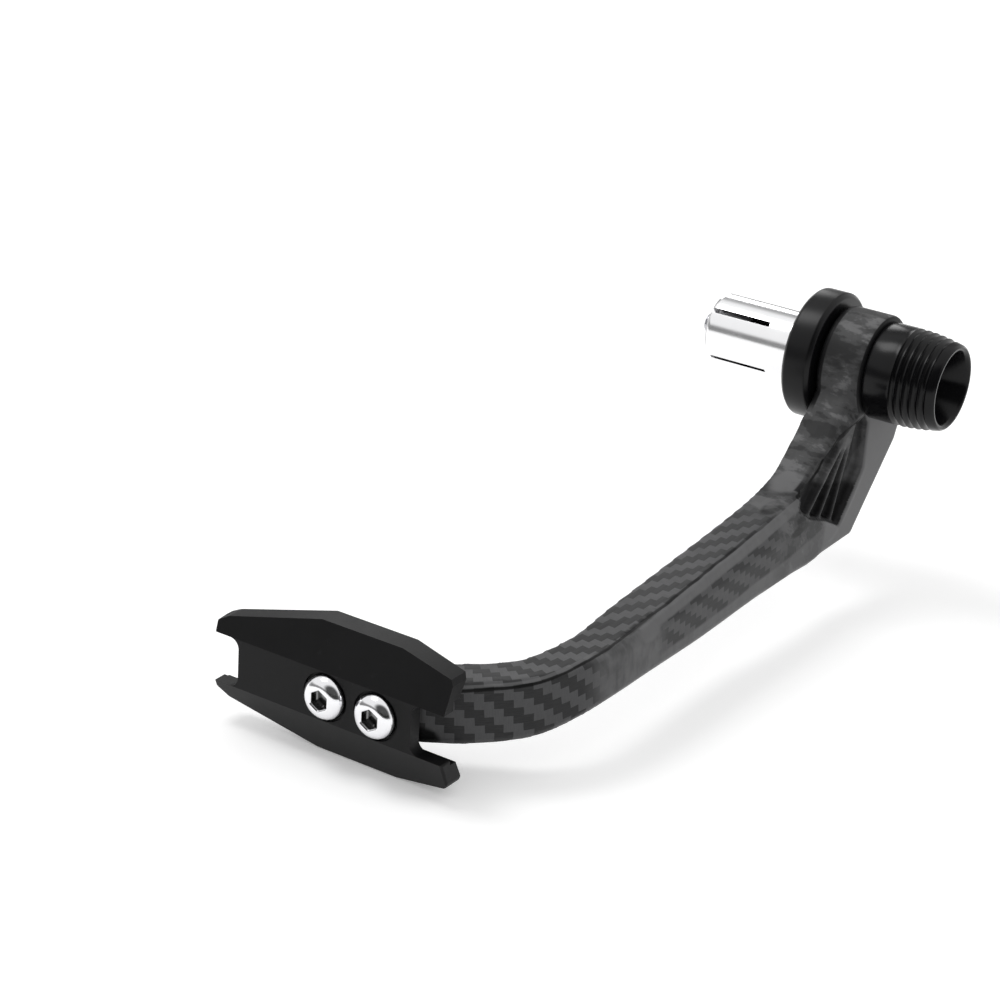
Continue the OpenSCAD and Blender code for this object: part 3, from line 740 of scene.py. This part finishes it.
head_r, crown_r, skirt_h, head_h, rim_w = 5.25, 2.55, 0.25, 3.3, 0.32
socket_r, lead_in, socket_deep, drill_deep = 2.35, 0.3, 2, 0.25
thread_r, shank_l, nose_l = 3, 12, 0.6
low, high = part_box("slider_screw_inner")
middle = (low + high) / 2
bpy.ops.object.select_all(action="DESELECT")
bpy.ops.mesh.primitive_circle_add(vertices=48, radius=head_r * MM, fill_type="NGON",
                                  location=(0, 0, 0))
screw = bpy.context.object
screw.name = screw.data.name = "screw_inner_body"
mode("EDIT")
bpy.ops.mesh.select_all(action="SELECT")
pull(0, 0, skirt_h)
wide, height = head_r, skirt_h
for deg in range(12, 85, 12):
    r = crown_r + (head_r - crown_r) * math.cos(math.radians(deg))
    h = skirt_h + (head_h - skirt_h) * math.sin(math.radians(deg))
    pull(0, 0, h - height)
    narrow(r / wide, h)
    wide, height = r, h
bpy.ops.mesh.inset(thickness=rim_w * MM)
mode("OBJECT")
for p in screw.data.vertices:
    if p.select:
        p.co.x, p.co.y = hexed(p.co.x, p.co.y, socket_r)
        p.co.z = head_h * MM
mode("EDIT")
pull(0, 0, -lead_in)
narrow(0.86, head_h - lead_in)
pull(0, 0, lead_in - socket_deep)
bpy.ops.mesh.inset(thickness=0.4 * MM)
bpy.ops.transform.translate(value=(0, 0, -drill_deep * MM))
bpy.ops.mesh.select_all(action="DESELECT")
mode("OBJECT")
for f in screw.data.polygons:
    f.select = f.normal.z < -0.9 and f.center.z < 0.1 * MM
mode("EDIT")
bpy.ops.mesh.inset(thickness=(head_r - thread_r) * MM)
pull(0, 0, nose_l - shank_l)
pull(0, 0, -nose_l)
narrow(0.8, -shank_l)
bpy.ops.mesh.select_all(action="SELECT")
bpy.ops.mesh.normals_make_consistent(inside=False)
mode("OBJECT")
screw.data.transform(Matrix.Rotation(math.radians(30), 4, "Z"))
screw.data.transform(Matrix.Rotation(math.radians(90), 4, "X"))
seat_y = high.y - shank_l * MM
screw.data.transform(Matrix.Translation((middle.x, seat_y, middle.z)))
broken_edges(screw, 0.1)
shaded(screw, 32)
# painted shade in each socket: a value for each point, growing with its depth below the seat
shade_l = 1.2
depth = [0.0] * len(screw.data.vertices)
for k, p in enumerate(screw.data.vertices):
    r = math.hypot(p.co.x - middle.x, p.co.z - middle.z)
    if r < (socket_r + 0.05) * MM and p.co.y < seat_y + 0.5 * MM:
        depth[k] = max(0.0, (p.co.y - low.y) / (shade_l * MM) - 0.12)
screw.data.attributes.new("socket", "FLOAT", "POINT").data.foreach_set("value", depth)
other = bpy.data.objects.new("screw_outer_body", screw.data.copy())
stage.collection.objects.link(other)
other_low, other_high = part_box("slider_screw_outer")
other.data.transform(Matrix.Translation((other_low + other_high) / 2 - middle))
chrome = bright("bright_plating", (0.88, 0.88, 0.9), 0.07, 60, 60, painted_shade=socket_shade)
fit(screw, "plated_steel", chrome, "slider_screw_inner")
fit(other, "plated_steel", chrome, "slider_screw_outer")

# The nuts, the washer and the bush are plain plated steel, set in the moulding or under the bolt.
# They keep their turned and pressed shapes, with the edges broken.
for node, name in (("slider_nut_inner", "nut_inner_body"), ("slider_nut_outer", "nut_outer_body"),
                   ("eye_bush", "bush_body"), ("bolt_washer", "washer_body")):
    part = copy_of(node, name)
    broken_edges(part, 0.25)
    shaded(part, 30)
    fit(part, "plated_steel", plated, node)
